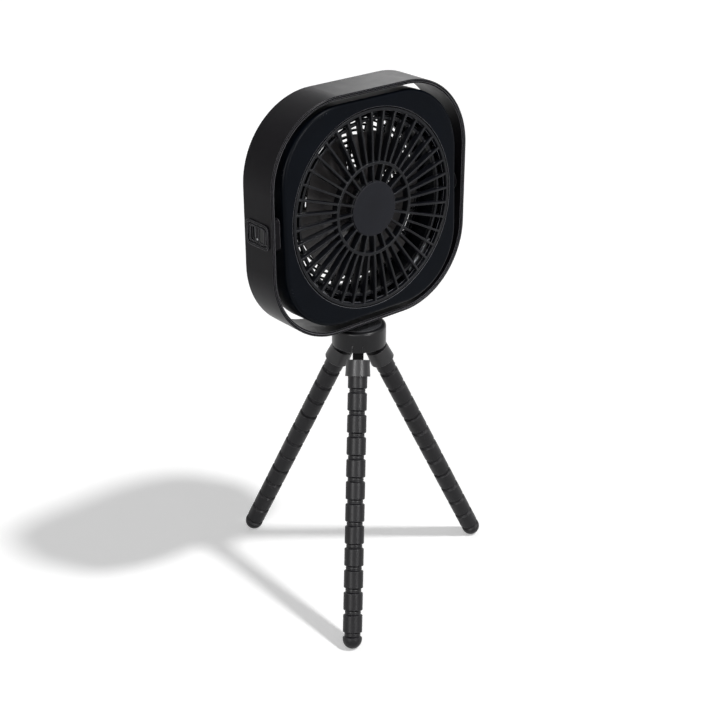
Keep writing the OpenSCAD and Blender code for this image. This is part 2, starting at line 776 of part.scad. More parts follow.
// Tripod head
slot_w_hub = tab_w + 2 * slot_side;
slot_inner_r = hinge_r - tab_t / 2 - slot_side;
slot_h = hinge_rise + tab_t / 2 + slot_side;
module hub_body() {
    z = hub_h;
    color([0.11, 0.11, 0.12]) at_axis(hub_bottom_z) difference() {
        union() {
            cylinder(h = z - hub_round, r = hub_r);
            cylinder(h = z, r = hub_r - hub_round);
            translate([0, 0, z - hub_round]) rotate_extrude() translate([hub_r - hub_round, 0])
                intersection() {
                    circle(hub_round, $fn = fillet_fn);
                    square([hub_round, hub_round]);
                }
        }
        translate([0, 0, z - pad_t + pad_proud]) cylinder(h = pad_t, r = pad_r + gap);
        translate([0, 0, -over]) cylinder(h = z + 2 * over, r = thread_r + gap);
        translate([0, 0, z - hub_roof - screw_head_t - gap])
            cylinder(h = screw_head_t + gap, r = screw_head_r + gap);
        for (a = leg_azimuths) rotate([0, 0, a]) {
            translate([slot_inner_r, -slot_w_hub / 2, -over])
                cube([hub_r - hub_wall - slot_inner_r, slot_w_hub, slot_h + over]);
            for (side = [-1, 1]) translate([hub_r - hub_wall - over, 0, -over])
                translate([0, (side * (slot_w_hub - slit_w) - slit_w) / 2, 0])
                    cube([hub_wall + 2 * over, slit_w, slit_h + over]);
            translate([hinge_r, hinge_pin_len / 2, hinge_rise]) rotate([90, 0, 0])
                cylinder(h = hinge_pin_len, r = hinge_pin_r);
            translate([hinge_r - pin_snap_w / 2, -hinge_pin_len / 2, -over])
                cube([pin_snap_w, hinge_pin_len, hinge_rise + over]);
        }
        for (a = leg_azimuths) rotate([0, 0, a + 180 / leg_count])
            translate([hub_screw_pcd_r, 0, -over]) cylinder(h = hub_screw_len + over, r = hub_screw_r);
        translate([0, 0, -over]) plate_shape(plate_t + over, gap);
    }
}
// Bottom plate, notched round the leg slots
module plate_shape(h, margin) {
    difference() {
        cylinder(h = h, r = core_r + margin);
        for (a = leg_azimuths) rotate([0, 0, a])
            translate([slot_inner_r - slot_rim + margin, -slot_w_hub / 2 - slot_rim + margin, -over])
                cube([hub_r, slot_w_hub + 2 * slot_rim - 2 * margin, h + 2 * over]);
    }
}
module hub_plate() {
    color([0.13, 0.13, 0.14]) at_axis(hub_bottom_z) difference() {
        plate_shape(plate_t, 0);
        for (a = leg_azimuths) rotate([0, 0, a + 180 / leg_count])
            translate([hub_screw_pcd_r, 0, -over]) cylinder(h = plate_t + 2 * over, r = hub_screw_r + gap);
    }
}
module hub_screws() {
    color("dimgray") at_axis(hub_bottom_z) for (a = leg_azimuths) rotate([0, 0, a + 180 / leg_count])
        translate([hub_screw_pcd_r, 0, 0]) {
            cylinder(h = hub_screw_len - gap, r = hub_screw_r);
            translate([0, 0, -hub_screw_head_t]) cylinder(h = hub_screw_head_t, r = hub_screw_head_r);
        }
}
module hub_pad() {
    ribs = floor(pad_r / pad_rib_pitch);
    color([0.08, 0.08, 0.085]) at_axis(hub_top_z + pad_proud - pad_t) difference() {
        cylinder(h = pad_t, r = pad_r);
        for (i = [-ribs:ribs])
            translate([i * pad_rib_pitch - pad_rib_w / 2, -pad_r, pad_t - pad_rib_h])
                cube([pad_rib_w, 2 * pad_r, pad_rib_h + over]);
        translate([0, 0, -over]) cylinder(h = pad_t + 2 * over, r = thread_r + gap);
    }
}
module tripod_screw() {
    color("silver") at_axis(hub_top_z - hub_roof - screw_head_t) {
        cylinder(h = screw_head_t, r = screw_head_r);
        cylinder(h = screw_head_t + hub_roof + pad_proud + screw_reach, r = thread_r - screw_gap);
    }
}
module leg_pins() {
    color("silver") at_axis(hinge_z) for (a = leg_azimuths) rotate([0, 0, a])
        translate([hinge_r, (hinge_pin_len - gap) / 2, 0]) rotate([90, 0, 0])
            cylinder(h = hinge_pin_len - gap, r = hinge_pin_r);
}

// Legs. z runs down the leg from the hinge
module bracket(i) {
    color([0.05, 0.05, 0.055]) on_leg(i) difference() {
        union() {
            rotate([90, 0, 0]) translate([0, 0, -tab_w / 2]) cylinder(h = tab_w, r = tab_t / 2);
            translate([-tab_t / 2, -tab_w / 2, 0]) cube([tab_t, tab_w, collar_top + collar_wall]);
            translate([0, 0, collar_top]) cylinder(h = shank_end - collar_top, r = shank_r);
        }
        rotate([90, 0, 0]) translate([0, 0, -tab_w]) cylinder(h = 2 * tab_w, r = hinge_pin_r + run_gap);
        translate([0, 0, sleeve_top]) cylinder(h = shank_end, r = wire_r);
    }
}
module collar(i) {
    color([0.16, 0.16, 0.17]) on_leg(i) translate([0, 0, collar_top]) difference() {
        cylinder(h = collar_len, r1 = collar_r, r2 = collar_r + collar_flare);
        translate([0, 0, -over]) cylinder(h = collar_len, r = norm([tab_w, tab_t]) / 2);
        translate([0, 0, collar_wall]) cylinder(h = collar_len, r = leg_r + run_gap);
    }
}
// Half of a groove seen in section, as radius and distance from the groove's middle
function groove_points(s) = [
    [leg_r, s - neck_half - groove_chamfer], [neck_r - ball_gap, s - neck_half],
    [neck_r, s], [neck_r - ball_gap, s + neck_half], [leg_r, s + neck_half + groove_chamfer]
];
// A length of sleeve that starts and ends plain, with count grooves from groove number first
module sleeve_length(low, high, first, count) {
    rotate_extrude() polygon(concat(
        [[0, low], [low == sleeve_top ? leg_r : neck_r - ball_gap, low]],
        low == sleeve_top ? [] : [[leg_r, low + groove_chamfer]],
        [for (i = [first:first + count - 1]) each groove_points(first_groove + i * groove_pitch)],
        [[leg_r, high - groove_chamfer], [neck_r - ball_gap, high], [0, high]]
    ));
}
module upper_sleeve(i) {
    color(sleeve_black) on_leg(i) difference() {
        union() {
            sleeve_length(sleeve_top, bend_1 - neck_half, 0, grooves_per_section - 1);
            translate([0, 0, bend_1]) sphere(neck_r);
        }
        translate([0, 0, sleeve_top - over]) cylinder(h = shank_end - sleeve_top + over, r = shank_r);
        translate([0, 0, sleeve_top]) cylinder(h = bend_1 - sleeve_top, r = wire_r);
    }
}
// A length of sleeve with a cup for the ball above it
module cupped_length(bend, high, first, count) {
    difference() {
        sleeve_length(bend + neck_half, high, first, count);
        translate([0, 0, bend]) sphere(neck_r + ball_gap);
    }
}
module middle_sleeve(i) {
    color(sleeve_black) on_leg(i) difference() {
        union() {
            cupped_length(bend_1, bend_2 - neck_half, grooves_per_section, grooves_per_section - 1);
            translate([0, 0, bend_2]) sphere(neck_r);
        }
        translate([0, 0, bend_1]) cylinder(h = bend_2 - bend_1, r = wire_r);
    }
}
module lower_sleeve(i) {
    color(sleeve_black) on_leg(i) difference() {
        union() {
            cupped_length(bend_2, last_groove - neck_half, 2 * grooves_per_section, grooves_per_section - 1);
            translate([0, 0, last_groove - neck_half]) cylinder(h = 2 * neck_half, r = neck_r);
        }
        translate([0, 0, bend_2]) cylinder(h = last_groove + neck_half - bend_2 + over, r = wire_r);
    }
}
module wire(i, low, high) {
    color("silver") on_leg(i) translate([0, 0, low]) cylinder(h = high - low, r = wire_r);
}
module upper_wire(i) {
    wire(i, sleeve_top + wire_end_gap, bend_1 - wire_end_gap);
}
module middle_wire(i) {
    wire(i, bend_1 + neck_r + ball_gap + wire_end_gap, bend_2 - wire_end_gap);
}
module lower_wire(i) {
    wire(i, bend_2 + neck_r + ball_gap + wire_end_gap, last_groove + neck_half + foot_wire);
}
module foot(i) {
    color(sleeve_black) difference() {
        on_leg(i) difference() {
            union() {
                translate([0, 0, last_groove + neck_half])
                    cylinder(h = groove_chamfer, r1 = neck_r - ball_gap, r2 = leg_r);
                translate([0, 0, foot_at - foot_straight]) cylinder(h = foot_straight, r = leg_r);
                translate([0, 0, foot_at]) intersection() {
                    sphere(leg_r);
                    cylinder(h = leg_r, r = leg_r);
                }
            }
            translate([0, 0, last_groove + neck_half - over])
                cylinder(h = foot_wire + gap + over, r = wire_r);
        }
        translate([-hoop_w, -hoop_w, -hoop_w]) cube([2 * hoop_w, 2 * hoop_w, hoop_w]);
    }
}

hoop();
tripod_insert();
side_panel();
indicator_lens();
charging_port();
switch_board();
pod_cover();
left_pivot_tube();
right_pivot_pin();
tilt_washers();
power_button();
front_bezel();
front_grille();
centre_cap();
rear_shell();
rear_grille();
shell_screws();
battery_cells();
circuit_board();
motor_base();
motor_stator();
motor_bearings();
motor_screws();
rotor();
motor_shaft();
motor_bell();
hub_body();
hub_pad();
tripod_screw();
hub_plate();
hub_screws();
leg_pins();
for (i = [0:leg_count - 1]) {
    bracket(i);
    collar(i);
    upper_sleeve(i);
    middle_sleeve(i);
    lower_sleeve(i);
    upper_wire(i);
    middle_wire(i);
    lower_wire(i);
    foot(i);
}
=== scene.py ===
# %% [markdown]
# # A portable fan on a small tripod with flexible legs
# The solid parts come ready from the CAD model. This lesson gives them a studio, light and finishes, and
# redraws four small pieces whose looks depend on fine edges: the front grille, its centre cap, the screw
# heads and the studded rubber pad. The frame is loaded first, because everything is placed from it.

# %% Load the frame
import json
import math

import bmesh
import bpy
from mathutils import Matrix, Vector


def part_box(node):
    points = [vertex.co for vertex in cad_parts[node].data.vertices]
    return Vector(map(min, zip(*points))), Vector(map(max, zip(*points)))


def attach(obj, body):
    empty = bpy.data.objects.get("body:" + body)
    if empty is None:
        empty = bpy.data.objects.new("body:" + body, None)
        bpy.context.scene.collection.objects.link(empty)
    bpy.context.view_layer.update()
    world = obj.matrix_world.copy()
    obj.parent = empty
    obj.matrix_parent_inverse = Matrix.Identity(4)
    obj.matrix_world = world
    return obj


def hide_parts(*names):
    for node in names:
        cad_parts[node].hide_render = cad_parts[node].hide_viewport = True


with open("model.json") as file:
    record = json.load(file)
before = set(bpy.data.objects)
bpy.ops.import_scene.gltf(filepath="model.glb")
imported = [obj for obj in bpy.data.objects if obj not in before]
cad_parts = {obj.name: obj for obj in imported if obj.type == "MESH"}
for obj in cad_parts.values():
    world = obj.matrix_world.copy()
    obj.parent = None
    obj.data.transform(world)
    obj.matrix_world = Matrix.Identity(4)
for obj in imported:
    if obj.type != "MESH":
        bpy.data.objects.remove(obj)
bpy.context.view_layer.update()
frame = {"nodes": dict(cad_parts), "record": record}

nodes = frame["nodes"]
print("CAD nodes:", len(nodes))

# %% [markdown]
# The hoop's middle is the point that the camera is aimed from, and the head tilts about it. It is read
# from the boxes of the CAD nodes, so that the scene follows the solids. Only two values are typed: half
# of the hoop's height, and how far the head is tilted back at rest.

# %% Places that are used throughout
HOOP_TOP_TO_MIDDLE = 0.07895
HEAD_TILT = math.radians(2.1)

hoop_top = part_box("hoop")[1][2]
pad_low, pad_high = (Vector(c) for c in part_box("hub_pad"))
AXIS = (pad_low + pad_high) / 2
HOOP = Vector((AXIS.x, AXIS.y, hoop_top - HOOP_TOP_TO_MIDDLE))
head_turn = Matrix.Rotation(math.pi / 2 - HEAD_TILT, 4, "X")
in_head = Matrix.Translation(HOOP) @ head_turn
print("hoop centre", tuple(round(v, 5) for v in HOOP))

# %% [markdown]
# The camera is a long lens that looks down at the fan from its front left. The direction, distance and
# lens come from fitting the known shapes (hoop, grille and leg grooves) to the picture. The view transform
# is Standard, so that a colour renders as it is written.

# %% Camera
LENS, SENSOR = 70.08, 36
CAMERA_FROM_HOOP = Vector((-0.55148, -0.65326, 0.3089))
LOOK_DOWN, LOOK_ROUND = 26.2344, -40.2172

view = bpy.data.cameras.new("camera")
view.lens, view.sensor_width = LENS, SENSOR
camera = bpy.data.objects.new("camera", view)
camera.location = HOOP + CAMERA_FROM_HOOP
camera.rotation_euler = (math.radians(90 - LOOK_DOWN), 0, math.radians(LOOK_ROUND))
bpy.context.collection.objects.link(camera)
bpy.context.scene.camera = camera
bpy.context.scene.view_settings.view_transform = "Standard"
print("camera", tuple(round(v, 3) for v in camera.location))

# %% [markdown]
# In a studio picture the ground is white, yet the object is not flooded with light. Light Path tells a
# shader what kind of ray asks for its brightness. Rays that can be seen (camera, glossy and transmission)
# get one strength, and the rays that light the object get another. The floor and the world both use this.

# %% A strength that depends on the kind of ray
def link_value(tree, value, socket):
    tree.links.new(value, socket)


def seen_strength(tree, hidden, seen):
    """Gives `seen` to camera, glossy and transmission rays, and `hidden` to those that only light."""
    path = tree.nodes.new("ShaderNodeLightPath")
    either = tree.nodes.new("ShaderNodeMath")
    either.operation = "MAXIMUM"
    link_value(tree, path.outputs["Is Camera Ray"], either.inputs[0])
    link_value(tree, path.outputs["Is Glossy Ray"], either.inputs[1])
    any_seen = tree.nodes.new("ShaderNodeMath")
    any_seen.operation = "MAXIMUM"
    link_value(tree, either.outputs[0], any_seen.inputs[0])
    link_value(tree, path.outputs["Is Transmission Ray"], any_seen.inputs[1])
    strength = tree.nodes.new("ShaderNodeMapRange")
    strength.inputs["To Min"].default_value = hidden
    strength.inputs["To Max"].default_value = seen
    link_value(tree, any_seen.outputs[0], strength.inputs["Value"])
    return strength.outputs["Result"]


print("ray helper ready")

# %% [markdown]
# The floor is a pale diffuse sheet, which keeps the soft shadow, plus a little brightness of its own that
# only seen rays meet. The backdrop is the same sheet stood up, far behind.

# %% Floor and backdrop
FLOOR_COLOUR = (0.8, 0.8, 0.8)
FLOOR_GLOW = 0.36
STAGE = 6


def studio_white(name, colour, glow):
    paint = bpy.data.materials.new(name)
    paint.use_nodes = True
    tree = paint.node_tree
    tree.nodes.clear()
    out = tree.nodes.new("ShaderNodeOutputMaterial")
    diffuse = tree.nodes.new("ShaderNodeBsdfDiffuse")
    diffuse.inputs["Color"].default_value = (*colour, 1)
    light = tree.nodes.new("ShaderNodeEmission")
    link_value(tree, seen_strength(tree, 0.0, glow), light.inputs["Strength"])
    both = tree.nodes.new("ShaderNodeAddShader")
    link_value(tree, diffuse.outputs[0], both.inputs[0])
    link_value(tree, light.outputs[0], both.inputs[1])
    link_value(tree, both.outputs[0], out.inputs["Surface"])
    return paint


def sheet_object(name, corners, paint):
    mesh = bpy.data.meshes.new(name)
    mesh.from_pydata(corners, [], [(0, 1, 2, 3)])
    mesh.materials.append(paint)
    obj = bpy.data.objects.new(name, mesh)
    bpy.context.collection.objects.link(obj)
    return obj


white = studio_white("studio_white", FLOOR_COLOUR, FLOOR_GLOW)
floor = sheet_object(
    "floor", [(-STAGE, -STAGE, 0), (STAGE, -STAGE, 0), (STAGE, STAGE, 0), (-STAGE, STAGE, 0)], white)
backdrop = sheet_object(
    "backdrop", [(-STAGE, STAGE, 0), (STAGE, STAGE, 0), (STAGE, STAGE, STAGE), (-STAGE, STAGE, STAGE)],
    white)
print("stage:", floor.name, backdrop.name)

# %% World
WORLD_LIGHT = 0.23

world = bpy.data.worlds.new("studio")
bpy.context.scene.world = world
world.use_nodes = True
sky = world.node_tree.nodes["Background"]
sky.inputs["Color"].default_value = (1, 1, 1, 1)
link_value(world.node_tree, seen_strength(world.node_tree, WORLD_LIGHT, 1.0), sky.inputs["Strength"])
print("world light:", WORLD_LIGHT)

# %% [markdown]
# The shadow lies to the left and behind, so the lamp that casts it stands to the right and in front, about
# 57 degrees up. Its angle sets how soft the edge of the shadow is. Black plastic shows its form by what it
# mirrors, so soft panels stand round the fan: one behind it for the top of the hoop, one in front, and two
# tall strips that draw a line down each leg. The panels that only draw reflections give no diffuse light.

# %% Lamps
SUN_POWER, SUN_SOFTNESS = 2.1, math.radians(5)
SUN_FROM_HOOP = Vector((0.269, -0.465, 0.843))
BACK_PANEL = {"from_hoop": (1.11, 0.87, 0.6), "size": (0.65, 0.42), "power": 3.2}
FRONT_PANEL = {"from_hoop": (-0.75, -0.75, 0.55), "size": (0.35, 0.35), "power": 1.5}
STRIP_WAYS = {"left_strip": (-0.957, -0.29), "front_strip": (0.014, -1.0)}
STRIP_FAR, STRIP_RISE, STRIP_SIZE, STRIP_POWER = 1.2, 0.55, (0.09, 0.7), 11
LEGS_HEIGHT = 0.12


def aim(obj, target):
    obj.rotation_euler = (Vector(target) - obj.location).to_track_quat("-Z", "Y").to_euler()


def soft_panel(name, place, target, size, power, only_gloss=False):
    lamp = bpy.data.lights.new(name, "AREA")
    lamp.shape, lamp.size, lamp.size_y, lamp.energy = "RECTANGLE", size[0], size[1], power
    obj = bpy.data.objects.new(name, lamp)
    obj.location = place
    obj.visible_diffuse = not only_gloss
    bpy.context.collection.objects.link(obj)
    aim(obj, target)
    return obj


shadow_lamp = bpy.data.lights.new("shadow_lamp", "SUN")
shadow_lamp.energy, shadow_lamp.angle = SUN_POWER, SUN_SOFTNESS
sun = bpy.data.objects.new("shadow_lamp", shadow_lamp)
sun.location = HOOP + SUN_FROM_HOOP
bpy.context.collection.objects.link(sun)
aim(sun, HOOP)
soft_panel("back_panel", HOOP + Vector(BACK_PANEL["from_hoop"]), HOOP, BACK_PANEL["size"],
           BACK_PANEL["power"], only_gloss=True)
soft_panel("front_panel", HOOP + Vector(FRONT_PANEL["from_hoop"]), HOOP, FRONT_PANEL["size"],
           FRONT_PANEL["power"])
legs_middle = Vector((AXIS.x, AXIS.y, LEGS_HEIGHT))
for name, way in STRIP_WAYS.items():
    place = legs_middle + Vector((*[STRIP_FAR * c for c in way], STRIP_RISE))
    soft_panel(name, place, legs_middle, STRIP_SIZE, STRIP_POWER, only_gloss=True)

# %% [markdown]
# Real mouldings have no knife edges. A Bevel node bends the shading normal near each edge, which rounds it
# without new faces. Where that bent normal leaves the true one, the surface is close to an edge, and the
# same measure paints a lighter colour there: a painted highlight along every rim, standing in for caught
# light.

# %% Soft edges and painted edge highlights
EDGE = 0.0004
EDGE_SAMPLES = 8
# The colour of the painted edge highlight, and the turns of the normal where it is full and where it ends.
EDGE_HIGHLIGHT_COLOUR = (0.4, 0.4, 0.43)
EDGE_HIGHLIGHT_FULL, EDGE_HIGHLIGHT_NONE = 0.9, 0.985


def soft_edge(tree):
    edge = tree.nodes.new("ShaderNodeBevel")
    edge.samples = EDGE_SAMPLES
    edge.inputs["Radius"].default_value = EDGE
    return edge.outputs["Normal"]


def paint_edge_highlights(tree, edge, colour, edge_highlight):
    """Blends the colour towards a painted highlight colour where the edge normal leaves the true normal.
    """
    shape = tree.nodes.new("ShaderNodeNewGeometry")
    turn = tree.nodes.new("ShaderNodeVectorMath")
    turn.operation = "DOT_PRODUCT"
    link_value(tree, edge, turn.inputs[0])
    link_value(tree, shape.outputs["True Normal"], turn.inputs[1])
    edge_light = tree.nodes.new("ShaderNodeMapRange")
    for socket, value in (("From Min", EDGE_HIGHLIGHT_FULL), ("From Max", EDGE_HIGHLIGHT_NONE),
                          ("To Min", edge_highlight), ("To Max", 0.0)):
        edge_light.inputs[socket].default_value = value
    link_value(tree, turn.outputs["Value"], edge_light.inputs["Value"])
    blend = tree.nodes.new("ShaderNodeMixRGB")
    blend.inputs["Color2"].default_value = (*EDGE_HIGHLIGHT_COLOUR, 1)
    link_value(tree, edge_light.outputs["Result"], blend.inputs["Fac"])
    link_value(tree, colour, blend.inputs["Color1"])
    return blend.outputs["Color"]


print("edge radius:", EDGE)

# %% [markdown]
# Moulded plastic is never one flat colour: the mould leaves a very fine grain, and handling leaves faint
# changes of gloss. One helper makes all such finishes from noise on Object coordinates. Its scales are
# patterns per metre, so they stay true on any piece.

# %% A helper for moulded, rubber and metal finishes
CLOUDS, CLOUD_DETAIL, CLOUD_RANGE = 35, 3, (0.3, 0.7)
GLOSS_PATCHES, GLOSS_DETAIL, GLOSS_SWING = 140, 4, 0.05
GRAIN_DETAIL, GRAIN_STRENGTH = 2, 0.4


def noise(tree, place, scale, detail):
    node = tree.nodes.new("ShaderNodeTexNoise")
    node.inputs["Scale"].default_value = scale
    node.inputs["Detail"].default_value = detail
    link_value(tree, place, node.inputs["Vector"])
    return node.outputs["Fac"]


def cloudy(tree, place, colour, spread):
    tint = tree.nodes.new("ShaderNodeValToRGB")
    dark, light = tint.color_ramp.elements
    dark.position, light.position = CLOUD_RANGE
    dark.color = (*[c * (1 - spread) for c in colour], 1)
    light.color = (*[min(1, c * (1 + spread)) for c in colour], 1)
    link_value(tree, noise(tree, place, CLOUDS, CLOUD_DETAIL), tint.inputs["Fac"])
    return tint.outputs["Color"]


def finish(name, colour, rough, grain, depth, spread=0.15, metal=0.0, shine=0.5, edge_highlight=0.0):
    paint = bpy.data.materials.new(name)
    paint.use_nodes = True
    tree = paint.node_tree
    shader = tree.nodes["Principled BSDF"]
    shader.inputs["Metallic"].default_value = metal
    shader.inputs["Specular IOR Level"].default_value = shine
    place = tree.nodes.new("ShaderNodeTexCoord").outputs["Object"]
    gloss = tree.nodes.new("ShaderNodeMapRange")
    gloss.inputs["To Min"].default_value = rough - GLOSS_SWING
    gloss.inputs["To Max"].default_value = rough + GLOSS_SWING
    link_value(tree, noise(tree, place, GLOSS_PATCHES, GLOSS_DETAIL), gloss.inputs["Value"])
    link_value(tree, gloss.outputs["Result"], shader.inputs["Roughness"])
    edge = soft_edge(tree)
    bump = tree.nodes.new("ShaderNodeBump")
    bump.inputs["Strength"].default_value = GRAIN_STRENGTH
    bump.inputs["Distance"].default_value = depth
    link_value(tree, noise(tree, place, grain, GRAIN_DETAIL), bump.inputs["Height"])
    link_value(tree, edge, bump.inputs["Normal"])
    link_value(tree, bump.outputs["Normal"], shader.inputs["Normal"])
    tinted = cloudy(tree, place, colour, spread)
    # Near each edge the base colour is lightened: a painted highlight.
    link_value(tree, paint_edge_highlights(tree, edge, tinted, edge_highlight), shader.inputs["Base Color"])
    return paint


print("finish helper ready")

# %% A helper that mixes a table of finishes
paints = {}


def mix_paints(rows):
    for name, colour, rough, grain, depth, more in rows:
        paints[name] = finish(name, colour, rough, grain, depth, **more)
    print("finishes:", ", ".join(row[0] for row in rows))


# %% [markdown]
# Each row gives the colour, the roughness, the grain per metre, its depth in metres, and what differs from
# the usual: shine for how strongly it mirrors, and the edge value for how strongly its edges get a painted
# highlight. The head is a little bluer than the hoop, and the tabs at the legs are nearly dull.

# %% Outer plastics
mix_paints([
    ("hoop_plastic", (0.0040, 0.0034, 0.0050), 0.33, 2600, 0.00002, {"shine": 0.07, "edge_highlight": 0.6}),
    ("head_plastic", (0.0018, 0.003, 0.0056), 0.33, 2600, 0.00002, {"shine": 0.048, "edge_highlight": 0.75}),
    ("grille_plastic", (0.005, 0.0056, 0.0078), 0.36, 2600, 0.00002, {"shine": 0.16, "edge_highlight": 0.16}),
    ("cap_plastic", (0.0115, 0.0123, 0.0165), 0.5, 3200, 0.00003, {"shine": 0.1, "edge_highlight": 0.7}),
    ("button_plastic", (0.005, 0.005, 0.0055), 0.4, 3000, 0.00002, {"shine": 0.2}),
    ("fan_plastic", (0.045, 0.041, 0.042), 0.45, 2400, 0.00003, {"shine": 0.3}),
    ("hub_plastic", (0.008, 0.008, 0.0092), 0.32, 2400, 0.00002, {"shine": 0.22, "edge_highlight": 0.3}),
    ("tab_plastic", (0.002, 0.002, 0.0023), 0.3, 2400, 0.00001, {"shine": 0.03}),
    ("collar_plastic", (0.0095, 0.009, 0.0105), 0.38, 2000, 0.00001, {"shine": 0.42, "edge_highlight": 0.15}),
    ("washer_plastic", (0.02, 0.02, 0.022), 0.5, 2400, 0.00003, {"shine": 0.3}),
])

# %% Rubber
mix_paints([
    ("sleeve_rubber", (0.0065, 0.006, 0.0075), 0.42, 1500, 0.000015, {"shine": 0.23, "edge_highlight": 0.1}),
    ("pad_rubber", (0.022, 0.023, 0.026), 0.55, 2200, 0.00005, {"shine": 0.3}),
])

# %% Pieces inside, and metals
mix_paints([
    ("lens", (0.55, 0.57, 0.6), 0.2, 900, 0.00001, {"spread": 0.05}),
    ("board", (0.01, 0.07, 0.03), 0.35, 800, 0.00002, {"spread": 0.25}),
    ("cell", (0.35, 0.36, 0.38), 0.4, 500, 0.00006, {"metal": 0.9}),
    ("copper", (0.6, 0.25, 0.1), 0.3, 1800, 0.00008, {"metal": 1.0}),
    ("brass", (0.7, 0.5, 0.2), 0.28, 1400, 0.00003, {"metal": 1.0}),
    ("bright_steel", (0.6, 0.6, 0.62), 0.25, 1800, 0.00002, {"metal": 1.0}),
    ("dark_steel", (0.08, 0.08, 0.085), 0.35, 1800, 0.00002, {"metal": 1.0}),
    ("leg_wire", (0.6, 0.6, 0.6), 0.35, 1200, 0.00002, {"metal": 1.0}),
])

# %% [markdown]
# Every solid gets the finish that its material slot names. Two are seen in deep shade, and that shade is
# painted
# into them with a darker finish: the charging socket, and the cover of the pod behind the side panel.

# %% Paint the solids
# Darker finishes that paint in the shade these two parts sit in.
PAINTED_SHADE_FINISH = {"charging_port": "dark_steel", "pod_cover": "tab_plastic"}

for part in frame["record"]["subparts"]:
    solid = nodes[part["node"]]
    solid.data.materials.clear()
    solid.data.materials.append(paints[PAINTED_SHADE_FINISH.get(part["node"], part["material_slot"])])

# %% [markdown]
# The grille, the cap and the screws are shapes that repeat round an axis. Each is drawn once, with its
# edges softened, and a small Geometry Nodes tree repeats it. Soft edges matter more than anything else
# on black plastic: without them no light is caught and the shape disappears.

# %% Helpers for small meshes
def new_mesh(name, bm):
    mesh = bpy.data.meshes.new(name)
    bmesh.ops.recalc_face_normals(bm, faces=bm.faces)
    bm.to_mesh(mesh)
    bm.free()
    return mesh


def soft_box(name, low, high, edge):
    bm = bmesh.new()
    bmesh.ops.create_cube(bm, size=1)
    middle, size = (Vector(low) + Vector(high)) / 2, Vector(high) - Vector(low)
    for v in bm.verts:
        v.co = Vector(c * s for c, s in zip(v.co, size)) + middle
    bmesh.ops.bevel(bm, geom=bm.edges[:], offset=edge, segments=2, profile=0.5, affect="EDGES")
    return new_mesh(name, bm)


def turned(name, outline, steps=128):
    """A closed outline of (radius, height) points, turned about Z."""
    bm = bmesh.new()
    rings = []
    for k in range(steps):
        a = 2 * math.pi * k / steps
        rings.append([bm.verts.new((r * math.cos(a), r * math.sin(a), z)) for r, z in outline])
    for k in range(steps):
        here, there = rings[k], rings[(k + 1) % steps]
        for i in range(len(outline)):
            j = (i + 1) % len(outline)
            if outline[i][0] + outline[j][0] > 0:
                bm.faces.new((here[i], there[i], there[j], here[j]))
    bmesh.ops.remove_doubles(bm, verts=bm.verts, dist=1e-6)
    bmesh.ops.dissolve_degenerate(bm, edges=bm.edges, dist=1e-7)
    return new_mesh(name, bm)


print("mesh helpers ready")

# %% Outlines of a ring and a disc with rounded edges
def ring_outline(inner, outer, low, high, edge, parts=3):
    corners = [(outer - edge, high - edge, 0), (inner + edge, high - edge, 90),
               (inner + edge, low + edge, 180), (outer - edge, low + edge, 270)]
    return [(r + edge * math.cos(math.radians(a + 90 * k / parts)),
             z + edge * math.sin(math.radians(a + 90 * k / parts)))
            for r, z, a in corners for k in range(parts + 1)]


def disc_outline(radius, low, high, edge, parts=4):
    top = [(radius - edge + edge * math.sin(math.radians(90 * k / parts)),
            high - edge + edge * math.cos(math.radians(90 * k / parts))) for k in range(parts + 1)]
    return [(0, low), (0, high)] + top + [(radius, low)]


print("points in a ring outline:", len(ring_outline(1, 2, 0, 1, 0.1)))

# %% A tree that repeats a mesh round Z
def around_tree():
    tree = bpy.data.node_groups.new("repeat_around", "GeometryNodeTree")
    face = tree.interface
    face.new_socket("Geometry", in_out="INPUT", socket_type="NodeSocketGeometry")
    face.new_socket("Count", in_out="INPUT", socket_type="NodeSocketInt")
    face.new_socket("Phase", in_out="INPUT", socket_type="NodeSocketFloat")
    face.new_socket("Material", in_out="INPUT", socket_type="NodeSocketMaterial")
    face.new_socket("Geometry", in_out="OUTPUT", socket_type="NodeSocketGeometry")
    start, end = tree.nodes.new("NodeGroupInput"), tree.nodes.new("NodeGroupOutput")
    points = tree.nodes.new("GeometryNodePoints")
    number = tree.nodes.new("GeometryNodeInputIndex")
    share = tree.nodes.new("ShaderNodeMath")
    share.operation = "DIVIDE"
    angle = tree.nodes.new("ShaderNodeMath")
    angle.operation = "MULTIPLY_ADD"
    angle.inputs[1].default_value = 2 * math.pi
    turn = tree.nodes.new("ShaderNodeCombineXYZ")
    copies = tree.nodes.new("GeometryNodeInstanceOnPoints")
    real = tree.nodes.new("GeometryNodeRealizeInstances")
    paint = tree.nodes.new("GeometryNodeSetMaterial")
    for a, b in ((start.outputs["Count"], points.inputs["Count"]),
                 (number.outputs[0], share.inputs[0]), (start.outputs["Count"], share.inputs[1]),
                 (share.outputs[0], angle.inputs[0]), (start.outputs["Phase"], angle.inputs[2]),
                 (angle.outputs[0], turn.inputs["Z"]), (turn.outputs[0], copies.inputs["Rotation"]),
                 (points.outputs[0], copies.inputs["Points"]),
                 (start.outputs["Geometry"], copies.inputs["Instance"]),
                 (copies.outputs[0], real.inputs[0]), (real.outputs[0], paint.inputs["Geometry"]),
                 (start.outputs["Material"], paint.inputs["Material"]),
                 (paint.outputs[0], end.inputs[0])):
        link_value(tree, a, b)
    return tree


repeat_around = around_tree()
print("tree inputs:", [i.name for i in repeat_around.interface.items_tree if i.in_out == "INPUT"])

